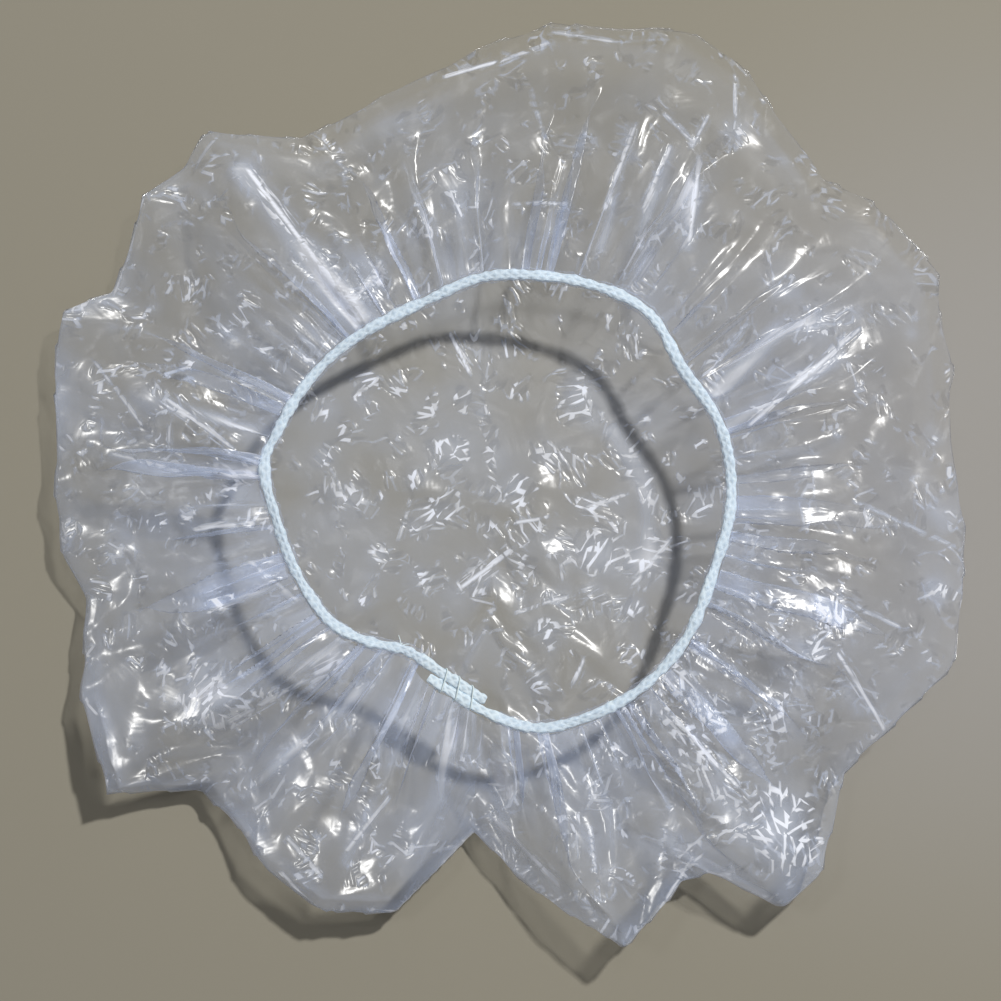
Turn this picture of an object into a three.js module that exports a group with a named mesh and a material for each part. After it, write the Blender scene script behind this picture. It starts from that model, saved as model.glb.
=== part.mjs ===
// A disposable shower cap of clear film, lying on its crown with its elastic mouth facing up.
// Millimetres, +Z up. The origin is on the surface it lies on, below the middle of the mouth.
import * as THREE from "three";

// Overall sizes of the cap as it lies
const capRadius = 145; // mean reach of the outer fold, where the film turns back over itself
const mouthRadius = 73; // mean radius of the elastic's centreline
const rimHeight = 31; // the elastic's centreline above the table
const rimWave = 0.7; // how far each of its waves lifts and dips the rim

// Film
const filmWall = 0.4; // the solid's wall, over ten times the real film's
const foldRise = 14; // mean height of the outer fold above the table
const foldInset = 2.2; // from the outer fold to the fold of the film's inner face
const skirtPuff = 7; // how far the skirt billows above the straight line from fold to hem
const crownRestShare = 0.6; // share of the reach over which the crown lies on the table
const crownClimbPower = 1.7; // how late the crown climbs to the outer fold
const restRadius = 20; // flat patch under the middle of the crown
const restFade = 16; // over which the crumples start outside that patch
const pleatDepth = 1.3; // of the gathers at the hem, up and down
const mainFoldRise = 6; // of the tallest fold that runs from the hem to the outer fold
const crumpleLength = 34; // mean distance from crease to crease
const crumpleLift = 1.15; // of one set of creases
const columnArc = 9; // aimed distance between the columns of points along the outer fold
const crownRings = 6;
const skirtRings = 8;

// Elastic: two rubber strands in a woven cover, its cut ends side by side where they overlap
const strandDiameter = 0.9;
const strandGap = 0.3; // between the two strands
const strandClearance = 0.3; // between the strands and the cover
const coverWall = 0.3;
const coverWidth = 2 * (strandDiameter + strandClearance + coverWall) + strandGap;
const coverHeight = strandDiameter + 2 * (strandClearance + coverWall);
const endGap = 0.3; // between the two overlapping ends
const overlapLength = 19;
const overlapMiddle = 258; // degrees round the mouth, counterclockwise from +X
const overlapEase = 18; // length over which each end steps aside
const rimSteps = 64; // round the mouth, from cut end to cut end
const endSides = 3; // of each half-round end of a flat section
const strandSides = 6;

// Hem: the turned edge of the film, a sleeve round the elastic that is open at the overlap
const hemClearance = 0.3; // between the elastic and the sleeve, and between sleeve and skirt
const hemWall = 0.3;
const hemSetback = 2; // least distance from the sleeve's mouths to the elastic's cut ends

// Stitches that tie the two ends of the elastic
const threadDiameter = 0.5;
const threadSides = 5;
const threadSteps = 14;
const stitchCount = 3;
const stitchClearance = 0.25; // between the thread and the elastic

// The outer fold's corners: degrees, share of capRadius, share of foldRise
const outlineShares = [
  [8, 1.025, 0.7],
  [18, 1.07, 0.85],
  [28, 1.125, 1],
  [36, 1.09, 0.9],
  [45, 1.045, 0.7],
  [54, 1.07, 0.9],
  [61, 1.13, 1],
  [68, 1.155, 1.15],
  [76, 1.115, 0.9],
  [83, 1.105, 0.85],
  [97, 1, 0.7],
  [106, 0.97, 0.6],
  [118, 0.93, 0.6],
  [128, 1.055, 1.1],
  [133, 1.03, 0.9],
  [139, 1.065, 1],
  [151, 0.99, 0.6],
  [156, 1.055, 1],
  [164, 1.03, 0.9],
  [176, 1, 0.8],
  [187, 0.985, 0.7],
  [193, 0.95, 0.45],
  [205, 1.015, 0.8],
  [217, 1.08, 1.1],
  [224, 0.91, 0.5],
  [238, 0.95, 0.9],
  [247, 0.98, 1.15],
  [256, 0.935, 1],
  [266, 0.728, 0.4],
  [273, 0.828, 0.6],
  [286, 1.03, 1.4],
  [296, 0.934, 0.8],
  [300, 0.952, 0.7],
  [305, 1.1, 1.2],
  [311, 1.086, 1],
  [322, 0.976, 0.6],
  [329, 1.005, 0.9],
  [340, 1.08, 1],
  [348, 1.05, 0.9],
  [357, 1.05, 0.9],
];

// The mouth's plan: degrees, share of mouthRadius
const mouthShares = [
  [0, 1.012],
  [18, 1.016],
  [35, 0.982],
  [51, 1.041],
  [69, 1.01],
  [80, 0.986],
  [94, 0.965],
  [108, 0.918],
  [121, 0.915],
  [141, 0.952],
  [163, 0.993],
  [171, 1.018],
  [186, 0.956],
  [207, 0.911],
  [217, 0.894],
  [228, 0.838],
  [241, 0.789],
  [256, 0.83],
  [266, 0.893],
  [283, 1],
  [301, 1.027],
  [321, 1.018],
  [341, 0.987],
];

// Waves of the rim's height: how many go round, degrees by which they lead
const rimWaves = [
  [2, 40],
  [3, 200],
];

// Main folds of the skirt: degrees at the hem, degrees at the outer fold, half width in degrees
// at the outer fold, share of mainFoldRise
const mainFoldShares = [
  [16, 25, 9, 0.8],
  [66, 68, 8, 0.8],
  [90, 88, 9, -0.5],
  [128, 128, 8, 1],
  [162, 158, 9, 0.6],
  [222, 212, 9, 0.9],
  [242, 236, 8, 0.6],
  [266, 266, 9, -0.8],
  [284, 286, 8, 0.6],
  [310, 306, 7, 0.9],
  [335, 332, 9, 0.7],
];

// Sets of straight creases: degrees of their direction, share of crumpleLength, share of
// crumpleLift, share of the way to the next crease at which they start
const creaseShares = [
  [14, 1, 1, 0.1],
  [71, 0.83, 0.9, 0.6],
  [128, 1.21, 1.1, 0.35],
  [47, 0.53, 0.55, 0.8],
  [163, 0.61, 0.6, 0.25],
];

const radians = Math.PI / 180;
const mix = (from, to, share) => from + (to - from) * share;
const held = (value) => Math.min(1, Math.max(0, value));
const eased = (value) => held(value) ** 2 * (3 - 2 * held(value));

// The entries of a closed table of [degrees, ...] on either side of an angle, and the way between
function around(table, angle) {
  const turned = ((angle % 360) + 360) % 360;
  const after = table.findIndex((row) => row[0] > turned);
  const second = after < 0 ? 0 : after;
  const first = (second + table.length - 1) % table.length;
  const span = (table[second][0] - table[first][0] + 360) % 360;
  const way = (turned - table[first][0] + 360) % 360;
  return { first, second, span, way };
}

// A smooth closed curve through a table of [degrees, share]
function smoothShare(table, angle) {
  const { first, second, span, way } = around(table, angle);
  const slope = (at) => {
    const before = table[(at + table.length - 1) % table.length];
    const next = table[(at + 1) % table.length];
    return (next[1] - before[1]) / ((next[0] - before[0] + 360) % 360);
  };
  const t = way / span;
  const start = table[first][1] * (1 + 2 * t) * (1 - t) ** 2 + slope(first) * span * t * (1 - t) ** 2;
  const end = table[second][1] * t * t * (3 - 2 * t) - slope(second) * span * t * t * (1 - t);
  return start + end;
}

// The outer fold at an angle: a straight run of film between two corners
function outerFold(angle) {
  const { first, second, span, way } = around(outlineShares, angle);
  const near = outlineShares[first];
  const far = outlineShares[second];
  const sine = (degrees) => Math.sin(degrees * radians);
  const share = (near[1] * far[1] * sine(span)) / (near[1] * sine(way) + far[1] * sine(span - way));
  return {
    reach: capRadius * share,
    height: foldRise * mix(near[2], far[2], way / span),
  };
}

const mouthReach = (angle) => mouthRadius * smoothShare(mouthShares, angle);
function rimLevel(angle) {
  let level = rimHeight;
  for (const [count, lead] of rimWaves) level += rimWave * Math.sin((count * angle + lead) * radians);
  return level;
}

// The elastic runs once round the mouth and past its own start, and near there each end of it
// stands aside: its start outwards, its end inwards
const degreesOf = (length) => length / (mouthReach(overlapMiddle) * radians);
const elasticStart = overlapMiddle - degreesOf(overlapLength) / 2;
const elasticEnd = elasticStart + 360 + degreesOf(overlapLength);
const sideStep = (coverWidth + endGap) / 2;
const degreesApart = (first, second) => Math.abs(((first - second + 540) % 360) - 180);
const stoodAside = (angle) =>
  1 - eased((degreesApart(angle, overlapMiddle) - degreesOf(overlapLength)) / degreesOf(overlapEase));

// The skirt's edge lies against the sleeve, and clear of the stitches round both ends
const roundElastic = Math.max(hemClearance + hemWall, stitchClearance + threadDiameter);
const hemReach = (angle) =>
  mouthReach(angle) + sideStep * stoodAside(angle) + coverWidth / 2 + roundElastic + hemClearance;

function triangleWave(turns) {
  return 4 * Math.abs(turns - Math.floor(turns) - 0.5) - 1;
}

// Flat facets that meet in straight creases
function crumple(x, y) {
  let lift = 0;
  for (const [degrees, lengthShare, liftShare, startShare] of creaseShares) {
    const along = x * Math.cos(degrees * radians) + y * Math.sin(degrees * radians);
    lift += crumpleLift * liftShare * triangleWave(along / (crumpleLength * lengthShare) + startShare);
  }
  return lift;
}

// How high the main folds lift the skirt's middle, on their way from the hem (0) to the fold (1)
function mainFolds(angle, outward) {
  let lift = 0;
  for (const [atHem, atFold, halfWidth, riseShare] of mainFoldShares) {
    const away = ((angle - mix(atHem, atFold, outward) + 540) % 360) - 180;
    lift += mainFoldRise * riseShare * Math.max(0, 1 - Math.abs(away) / halfWidth);
  }
  return lift;
}

// Columns of points round the cap. Each outline corner starts one, and they stand in pairs,
// so that a gather's ridge at every corner has a valley beside it.
const columns = [];
outlineShares.forEach(([start, share], at) => {
  const span = (outlineShares[(at + 1) % outlineShares.length][0] - start + 360) % 360;
  const pairs = Math.max(1, Math.round((span * radians * capRadius * share) / (2 * columnArc)));
  for (let step = 0; step < 2 * pairs; step += 1)
    columns.push({ angle: start + (span * step) / (2 * pairs), ridge: step % 2 === 0 ? 1 : -1 });
});

// A ring of the film's crown at a share of the way from the flat patch to the fold
function crownRing(share) {
  return columns.map(({ angle }) => {
    const { reach, height } = outerFold(angle);
    const out = mix(restRadius, reach, share);
    const x = out * Math.cos(angle * radians);
    const y = out * Math.sin(angle * radians);
    const onTable = Math.max(0, crumple(x, y)) * held((out - restRadius) / restFade);
    const climb = held((out / reach - crownRestShare) / (1 - crownRestShare)) ** crownClimbPower;
    return new THREE.Vector3(x, y, mix(onTable, height, climb));
  });
}

// A ring of the skirt at a share of the way from the fold to the hem
function skirtRing(share) {
  return columns.map(({ angle, ridge }) => {
    const fold = outerFold(angle);
    const out = mix(fold.reach, hemReach(angle), share);
    const inward = (fold.reach - out) / (fold.reach - hemReach(angle));
    const x = out * Math.cos(angle * radians);
    const y = out * Math.sin(angle * radians);
    const billow = Math.sin(Math.PI * inward);
    const level =
      mix(fold.height, rimLevel(angle), inward) +
      (skirtPuff + crumple(x, y) + mainFolds(angle, 1 - inward)) * billow +
      ridge * pleatDepth * inward ** 2;
    return new THREE.Vector3(x, y, level);
  });
}

// A closed surface through rings of points. It runs from a first to a last single point, or
// without them from the last ring back to the first. From the ring at which a sheet's surface
// heads home along its other face, its squares are split the other way, so that both faces
// have the same creases and the wall between them keeps its thickness.
function surface(rings, ends = [], home = rings.length) {
  const count = rings[0].length;
  const points = [...rings.flat(), ...ends];
  const corner = (ring, at) => (ring % rings.length) * count + (at % count);
  const bands = rings.length - (ends.length > 0 ? 1 : 0);
  const faces = [];
  for (let at = 0; at < count; at += 1) {
    for (let ring = 0; ring < bands; ring += 1) {
      const [start, next] = [corner(ring, at), corner(ring, at + 1)];
      const [over, across] = [corner(ring + 1, at), corner(ring + 1, at + 1)];
      if (ring < home) faces.push(start, next, across, start, across, over);
      else faces.push(start, next, over, next, across, over);
    }
    if (ends.length > 0) {
      faces.push(points.length - 2, corner(0, at + 1), corner(0, at));
      faces.push(points.length - 1, corner(rings.length - 1, at), corner(rings.length - 1, at + 1));
    }
  }
  return new THREE.BufferGeometry().setFromPoints(points).setIndex(faces);
}

// The fold of the film's inner face, halfway between the crown and the skirt
function innerFold(crownEdge, fold, skirtEdge) {
  const inside = (tip, edge) => tip.clone().lerp(edge, foldInset / tip.distanceTo(edge));
  return fold.map((tip, at) => inside(tip, crownEdge[at]).lerp(inside(tip, skirtEdge[at]), 0.5));
}

// The one sheet of film: out along the crown's outer face, back over the skirt's outer face to
// the hem, and home again along the inner faces
function filmGeometry() {
  const steps = (count) => Array.from({ length: count }, (_, at) => at / count);
  const crown = steps(crownRings).map((share) => crownRing(share));
  const skirt = [...steps(skirtRings), 1].map((share) => skirtRing(share));
  const [fold, ...rest] = skirt;
  const shifted = (ring, lift) => ring.map(({ x, y, z }) => new THREE.Vector3(x, y, z + lift));
  const rings = [
    ...crown,
    ...skirt,
    ...rest.toReversed().map((ring) => shifted(ring, -filmWall)),
    innerFold(crown.at(-1), fold, rest[0]),
    ...crown.toReversed().map((ring) => shifted(ring, filmWall)),
  ];
  const ends = [new THREE.Vector3(0, 0, 0), new THREE.Vector3(0, 0, filmWall)];
  return surface(rings, ends, crown.length + skirt.length);
}

// Stations along the elastic: where its middle is, and which way is across it, to the outside
function rimPoint(angle) {
  const side = angle < overlapMiddle + 180 ? 1 : -1;
  const reach = mouthReach(angle) + side * sideStep * stoodAside(angle);
  return new THREE.Vector3(
    reach * Math.cos(angle * radians),
    reach * Math.sin(angle * radians),
    rimLevel(angle),
  );
}
const up = new THREE.Vector3(0, 0, 1);
const rimStations = Array.from({ length: rimSteps + 1 }, (_, at) => {
  const angleAt = (step) => mix(elasticStart, elasticEnd, step / rimSteps);
  const angle = angleAt(at);
  const along = rimPoint(angleAt(at + 1 / 2)).sub(rimPoint(angleAt(at - 1 / 2)));
  return { angle, middle: rimPoint(angle), across: along.cross(up).normalize() };
});

// A flat section with half-round ends, as pairs of distances across and up
function flatSection(width, height) {
  const round = height / 2;
  const straight = width / 2 - round;
  const turns = Array.from({ length: endSides + 1 }, (_, at) => Math.PI * (1 / 2 - at / endSides));
  const end = (side) =>
    turns.map((turn) => [side * (straight + round * Math.cos(turn)), side * round * Math.sin(turn)]);
  return [...end(1), ...end(-1)];
}

const alongRim = (section, stations) =>
  stations.map(({ middle, across }) =>
    section.map(([out, rise]) => middle.clone().addScaledVector(across, out).addScaledVector(up, rise)),
  );

// A tube along the rim, open at both ends
function hollowGeometry(width, height, wall, stations) {
  const outside = alongRim(flatSection(width, height), stations);
  const inside = alongRim(flatSection(width - 2 * wall, height - 2 * wall), stations);
  return surface([...outside, ...inside.toReversed()]);
}

function sleeveGeometry() {
  const spread = 2 * (hemClearance + hemWall);
  const opening = degreesOf(overlapLength + hemSetback);
  const stations = rimStations.filter(
    ({ angle }) => angle > elasticStart + opening && angle < elasticEnd - opening,
  );
  return hollowGeometry(coverWidth + spread, coverHeight + spread, hemWall, stations);
}

function coverGeometry() {
  return hollowGeometry(coverWidth, coverHeight, coverWall, rimStations);
}

// A strand beside the cover's middle, outside it (1) or inside it (-1)
function strandGeometry(side) {
  const aside = (side * (strandDiameter + strandGap)) / 2;
  const section = Array.from({ length: strandSides }, (_, at) => {
    const turn = (-2 * Math.PI * at) / strandSides;
    return [aside + (strandDiameter / 2) * Math.cos(turn), (strandDiameter / 2) * Math.sin(turn)];
  });
  const middles = alongRim([[aside, 0]], rimStations).flat();
  return surface(alongRim(section, rimStations), [middles[0], middles[rimSteps]]);
}

// A loop of thread round both ends of the elastic, at a distance along it from the overlap's middle
function stitchGeometry(offset) {
  const angle = overlapMiddle + degreesOf(offset);
  const outward = new THREE.Vector3(Math.cos(angle * radians), Math.sin(angle * radians), 0);
  const along = new THREE.Vector3().crossVectors(up, outward);
  const middle = outward.clone().multiplyScalar(mouthReach(angle)).addScaledVector(up, rimLevel(angle));
  const round = (coverHeight + threadDiameter) / 2 + stitchClearance;
  const straight = sideStep + (coverWidth - coverHeight) / 2;
  const rings = Array.from({ length: threadSteps }, (_, step) => {
    const turn = (2 * Math.PI * (step + 1 / 2)) / threadSteps;
    const away = outward.clone().multiplyScalar(Math.cos(turn)).addScaledVector(up, Math.sin(turn));
    const centre = middle.clone().addScaledVector(outward, Math.sign(away.dot(outward)) * straight);
    return Array.from({ length: threadSides }, (__, side) => {
      const spin = (2 * Math.PI * side) / threadSides;
      return centre
        .clone()
        .addScaledVector(away, round + (threadDiameter / 2) * Math.cos(spin))
        .addScaledVector(along, (threadDiameter / 2) * Math.sin(spin));
    });
  });
  return surface(rings);
}

const finish = (look) => () => new THREE.MeshStandardMaterial({ metalness: 0, ...look });
const clearFilm = finish({ color: 0xdfe3ea, roughness: 0.12, transparent: true, opacity: 0.3 });
const wovenCover = finish({ color: 0xc3dde4, roughness: 0.85 });
const rubber = finish({ color: 0xd9cfa8, roughness: 0.6 });
const thread = finish({ color: 0xe8f0f2, roughness: 0.8 });

function piece(name, geometry, material) {
  const mesh = new THREE.Mesh(geometry, material);
  mesh.name = name;
  return mesh;
}

const showerCap = new THREE.Group();
showerCap.add(piece("film_cap", filmGeometry(), clearFilm()));

const rim = new THREE.Group();
rim.add(piece("hem_sleeve", sleeveGeometry(), clearFilm()));
rim.add(piece("elastic_cover", coverGeometry(), wovenCover()));
rim.add(piece("rubber_strand_inner", strandGeometry(-1), rubber()));
rim.add(piece("rubber_strand_outer", strandGeometry(1), rubber()));
for (let at = 0; at < stitchCount; at += 1) {
  const offset = ((at + 1) / (stitchCount + 1) - 1 / 2) * overlapLength;
  rim.add(piece(`tack_stitch_${at + 1}`, stitchGeometry(offset), thread()));
}
showerCap.add(rim);

export default showerCap;
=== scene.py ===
# A disposable shower cap of clear film, lying on its crown with its elastic mouth facing up. Metres.
import math

import bmesh
import bpy
import numpy as np
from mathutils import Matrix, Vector


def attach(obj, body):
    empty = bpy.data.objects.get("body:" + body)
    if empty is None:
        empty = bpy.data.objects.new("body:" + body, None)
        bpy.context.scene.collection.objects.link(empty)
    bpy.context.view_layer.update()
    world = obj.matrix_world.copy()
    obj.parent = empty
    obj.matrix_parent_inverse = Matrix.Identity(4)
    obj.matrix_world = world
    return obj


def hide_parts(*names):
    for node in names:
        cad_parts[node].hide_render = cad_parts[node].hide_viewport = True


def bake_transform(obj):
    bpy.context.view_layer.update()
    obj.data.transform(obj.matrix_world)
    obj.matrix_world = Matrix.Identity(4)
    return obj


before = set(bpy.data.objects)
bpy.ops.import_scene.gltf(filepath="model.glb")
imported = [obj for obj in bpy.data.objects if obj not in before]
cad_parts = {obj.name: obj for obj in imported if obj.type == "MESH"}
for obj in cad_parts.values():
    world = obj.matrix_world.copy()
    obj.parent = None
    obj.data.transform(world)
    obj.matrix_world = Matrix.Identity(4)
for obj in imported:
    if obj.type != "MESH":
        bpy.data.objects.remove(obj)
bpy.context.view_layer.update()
print("frame loaded,", len(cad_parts), "nodes")

# Sizes that all the pieces share, as in the solid model
cap = {
    "reach": 0.145,  # mean reach of the outer fold
    "foldRise": 0.014,  # mean height of the outer fold
    "mouthRadius": 0.073,
    "rimHeight": 0.031,
    "rimWave": 0.0007,
    "flatRadius": 0.25,  # of the disc that the film was cut to
}

# The outer fold's corners: degrees, share of reach, share of foldRise
outlineShares = np.array([
    (8, 1.025, 0.7), (18, 1.07, 0.85), (28, 1.125, 1), (36, 1.09, 0.9), (45, 1.045, 0.7),
    (54, 1.07, 0.9), (61, 1.13, 1), (68, 1.155, 1.15), (76, 1.115, 0.9), (83, 1.105, 0.85),
    (97, 1, 0.7), (106, 0.97, 0.6), (118, 0.93, 0.6), (128, 1.055, 1.1), (133, 1.03, 0.9),
    (139, 1.065, 1), (151, 0.99, 0.6), (156, 1.055, 1), (164, 1.03, 0.9), (176, 1, 0.8),
    (187, 0.985, 0.7), (193, 0.95, 0.45), (205, 1.015, 0.8), (217, 1.08, 1.1), (224, 0.91, 0.5),
    (238, 0.95, 0.9), (247, 0.98, 1.15), (256, 0.935, 1), (266, 0.728, 0.4), (273, 0.828, 0.6),
    (286, 1.03, 1.4), (296, 0.934, 0.8), (300, 0.952, 0.7), (305, 1.1, 1.2), (311, 1.086, 1),
    (322, 0.976, 0.6), (329, 1.005, 0.9), (340, 1.08, 1), (348, 1.05, 0.9), (357, 1.05, 0.9),
])

# The mouth's plan: degrees, share of mouthRadius
mouthShares = np.array([
    (0, 1.012), (18, 1.016), (35, 0.982), (51, 1.041), (69, 1.01), (80, 0.986), (94, 0.965),
    (108, 0.918), (121, 0.915), (141, 0.952), (163, 0.993), (171, 1.018), (186, 0.956),
    (207, 0.911), (217, 0.894), (228, 0.838), (241, 0.789), (256, 0.83), (266, 0.893), (283, 1),
    (301, 1.027), (321, 1.018), (341, 0.987),
])

rimWaves = ((2, 40), (3, 200))  # how many go round, degrees by which they lead


def mix(a, b, share):
    return a + (b - a) * share


def eased(value):
    held = np.clip(value, 0, 1)
    return held * held * (3 - 2 * held)


def around(table, angle):
    # the rows of a closed table on either side of each angle, the span between them and the way along it
    turned = np.mod(angle, 360)
    after = np.searchsorted(table[:, 0], turned, side="right") % len(table)
    before = after - 1
    span = np.mod(table[after, 0] - table[before, 0], 360)
    way = np.mod(turned - table[before, 0], 360)
    return before, after, span, way


def outerFold(angle):
    # reach and height of the outer fold, with straight runs of film between its corners
    before, after, span, way = around(outlineShares, angle)
    near, far = outlineShares[before, 1], outlineShares[after, 1]
    sine = lambda degrees: np.sin(np.radians(degrees))
    share = near * far * sine(span) / (near * sine(way) + far * sine(span - way))
    height = mix(outlineShares[before, 2], outlineShares[after, 2], way / span)
    return cap["reach"] * share, cap["foldRise"] * height


def mouthReach(angle):
    # a smooth closed curve through the mouth's table
    before, after, span, way = around(mouthShares, angle)
    degrees, share = mouthShares[:, 0], mouthShares[:, 1]
    rise = np.roll(share, -1) - np.roll(share, 1)
    slope = rise / np.mod(np.roll(degrees, -1) - np.roll(degrees, 1), 360)
    t = way / span
    start = share[before] * (1 + 2 * t) * (1 - t) ** 2 + slope[before] * span * t * (1 - t) ** 2
    end = share[after] * t * t * (3 - 2 * t) - slope[after] * span * t * t * (1 - t)
    return cap["mouthRadius"] * (start + end)


def rimLevel(angle):
    waves = sum(np.sin(np.radians(count * angle + lead)) for count, lead in rimWaves)
    return cap["rimHeight"] + cap["rimWave"] * waves


# Camera, at the photograph's angle
view = {
    "elevation": 85,  # degrees
    "distance": 0.95,
    "pixels": 1001,
    "pixelsPerMetre": 3170,  # at the height of the mouth
    "mouthPixel": (497, 498),  # where the photograph has the middle of the mouth
}


def addObject(name, data):
    added = bpy.data.objects.new(name, data)
    bpy.context.scene.collection.objects.link(added)
    return added


def addCamera():
    data = bpy.data.cameras.new("camera")
    data.angle = 2 * math.atan(view["pixels"] / view["pixelsPerMetre"] / 2 / view["distance"])
    data.shift_x = 0.5 - view["mouthPixel"][0] / view["pixels"]
    data.shift_y = view["mouthPixel"][1] / view["pixels"] - 0.5
    camera = addObject("camera", data)
    tilt = math.radians(view["elevation"])
    away = Vector((0, -math.cos(tilt), math.sin(tilt)))
    camera.location = Vector((0, 0, cap["rimHeight"])) + view["distance"] * away
    camera.rotation_euler = away.to_track_quat("Z", "Y").to_euler()
    bpy.context.scene.camera = camera


addCamera()

# Lamps: degrees round from +X, degrees up, distance, side of the square, watts, colour
lamps = {
    "key": (45, 53, 2.4, 0.13, 44, (1, 0.985, 0.955)),
    "window": (172, 61, 1.6, 0.2, 1.4, (0.93, 0.96, 1)),
    "doorway": (318, 62, 1.6, 0.2, 1.2, (0.95, 0.97, 1)),
    "ceiling": (82, 76, 1.3, 0.12, 0.45, (0.97, 0.98, 1)),
}
floor = {
    "size": 3.0,
    "colour": (0.298, 0.277, 0.222, 1),
    "roughness": 0.9,
    # painted sheen: near one place the floor's colour turns paler and more neutral, standing in for a
    # lamp's glare
    "paintedSheenColour": (0.345, 0.332, 0.313, 1),
    "paintedSheenPlace": (0.17, 0.01, 0),
    "paintedSheenReach": (0.2, 0.03),  # distances where the painted sheen ends and where it is full
}
room = {"colour": (0.95, 0.93, 0.92, 1), "strength": 0.19}


def addLight():
    for name, (turn, rise, distance, side, watts, colour) in lamps.items():
        data = bpy.data.lights.new(name, "AREA")
        data.shape = "SQUARE"
        data.size = side
        data.energy = watts
        data.color = colour
        lamp = addObject(name, data)
        turn, rise = math.radians(turn), math.radians(rise)
        level = math.cos(rise)
        away = Vector((math.cos(turn) * level, math.sin(turn) * level, math.sin(rise)))
        lamp.location = away * distance
        lamp.rotation_euler = away.to_track_quat("Z", "Y").to_euler()
    world = bpy.data.worlds.new("room")
    world.use_nodes = True
    background = world.node_tree.nodes["Background"]
    background.inputs["Color"].default_value = room["colour"]
    background.inputs["Strength"].default_value = room["strength"]
    bpy.context.scene.world = world


def newMaterial(name):
    material = bpy.data.materials.new(name)
    material.use_nodes = True
    tree = material.node_tree
    tree.nodes.clear()
    output = tree.nodes.new("ShaderNodeOutputMaterial")
    return material, tree, output


def feed(tree, socket, value):
    # the value is a constant, or another node's output
    if isinstance(value, bpy.types.NodeSocket):
        tree.links.new(value, socket)
    else:
        socket.default_value = value


def addNode(tree, kind, **values):
    # the values are for its inputs, or else its settings
    node = tree.nodes.new("ShaderNode" + kind)
    for key, value in values.items():
        if key in node.inputs:
            feed(tree, node.inputs[key], value)
        else:
            setattr(node, key, value)
    return node


def addMath(tree, operation, *values, clamped=False):
    node = addNode(tree, "Math", operation=operation, use_clamp=clamped)
    for socket, value in zip(node.inputs, values):
        feed(tree, socket, value)
    return node.outputs[0]


def addProduct(tree, first, second, added=0, clamped=False):
    return addMath(tree, "MULTIPLY_ADD", first, second, added, clamped=clamped)


def addRange(tree, value, low, high):
    # 0 at low and 1 at high, eased
    ends = {"From Min": low, "From Max": high}
    node = addNode(tree, "MapRange", interpolation_type="SMOOTHSTEP", Value=value, **ends)
    return node.outputs["Result"]


def addTint(tree, share, low, high):
    # colour from low to high
    node = addNode(tree, "Mix", data_type="RGBA", Factor=share)
    colours = [socket for socket in node.inputs if socket.type == "RGBA"]
    colours[0].default_value, colours[1].default_value = low, high
    return [socket for socket in node.outputs if socket.type == "RGBA"][0]


def finishMesh(name, mesh):
    data = bpy.data.meshes.new(name)
    mesh.to_mesh(data)
    mesh.free()
    for polygon in data.polygons:
        polygon.use_smooth = True
    return addObject(name, data)


def addFloor():
    mesh = bmesh.new()
    bmesh.ops.create_grid(mesh, x_segments=1, y_segments=1, size=floor["size"] / 2)
    plane = finishMesh("floor", mesh)
    material, tree, output = newMaterial("palePlaster")
    place = addNode(tree, "TexCoord").outputs["Object"]
    # painted sheen: the floor's colour turns paler near one place, as where glare falls
    away = addNode(tree, "VectorMath", operation="DISTANCE", Vector=place)
    feed(tree, away.inputs[1], floor["paintedSheenPlace"])
    share = addRange(tree, away.outputs["Value"], *floor["paintedSheenReach"])
    tint = addTint(tree, share, floor["colour"], floor["paintedSheenColour"])
    shader = addNode(tree, "BsdfPrincipled", **{"Base Color": tint, "Roughness": floor["roughness"]})
    tree.links.new(shader.outputs["BSDF"], output.inputs["Surface"])
    plane.data.materials.append(material)


addLight()
addFloor()
print("camera, light and floor")

# Film: a flat disc, crumpled, its edge gathered and folded back over itself
film = {
    "cells": 296,  # across the sheet
    "crownWorked": 0.3,  # how finely wrinkled the crown is
    "crownHazy": 2.4,
    "crownRest": 0.58,  # share of the reach over which the crown lies on the floor
    "crownClimb": 1.7,
    "skirtSlack": 0.1,  # how much more film the skirt has than its straight way to the rim
    "skirtPuff": 0.0065,
    "hemInset": 0.0019,  # from the elastic's centreline to the film's edge, outside it
    "floorEase": 0.0005,
    "foldRounding": 3,  # passes
    "foldBand": 0.06,  # share of the skirt that they round
    "calmBelow": -1.1,  # the skirt's crumples are flatter where it is less wrinkled than this
    "calmed": 0.3,
    "calmFrom": 0.1,  # share of the skirt over which they grow flatter
    "cornerScatter": 0.36,  # of a facet's corners, as a share of their spacing
    "gatherScatter": 0.32,  # of the gathers' ridges and valleys, in the same way
    "gatherLeast": 0.35,  # share of the full height
    "leanings": 9,  # how many places round the cap set the side that the gathers fall over to
    "leaningLeast": 0.6,
    "hemFlatFrom": 0.85,  # share of the skirt beyond which its gathers grow lower
    "hemFlattened": 0.72,
    "stillFrom": 0.98,  # share of the disc's radius beyond which the film doesn't stray outwards
    "creaseEnd": 2,  # how much faster a crease fades beyond its ends than to its sides
    "creaseShift": 0.1,  # along each crease, so that no two have the same fine lines
    "otherLayer": 0.5,  # shift that keeps the skirt's wrinkles from repeating the crown's
    "skirtLookFrom": 0.15,  # share of the skirt over which its look takes over from the crown's
    "gatheredFrom": 0.3,
    "crownSeenTo": 0.07,  # reach of the crown that shows in the mouth
    "crownHidden": 0.03,  # distance past it over which its haze goes with the skirt's
    "crownOwnHaze": 0.55,  # share of that haze which stays its own
    "edgeBand": (0.006, 0.003),  # width of the flattened band along the outer fold, and its ease
    "edgeClear": 6,  # how much of the band's haze goes where it is thin, and comes where it is dense
    "edgeHazy": 0.4,
    "shadeBand": (0.007, 0.004),  # the same, of the band there that holds back the most light
    "shaded": 10,
    "ridgeHeight": 0.006,  # of a main fold that counts in full
    "ridgeHaze": 0.2,
}

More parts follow.
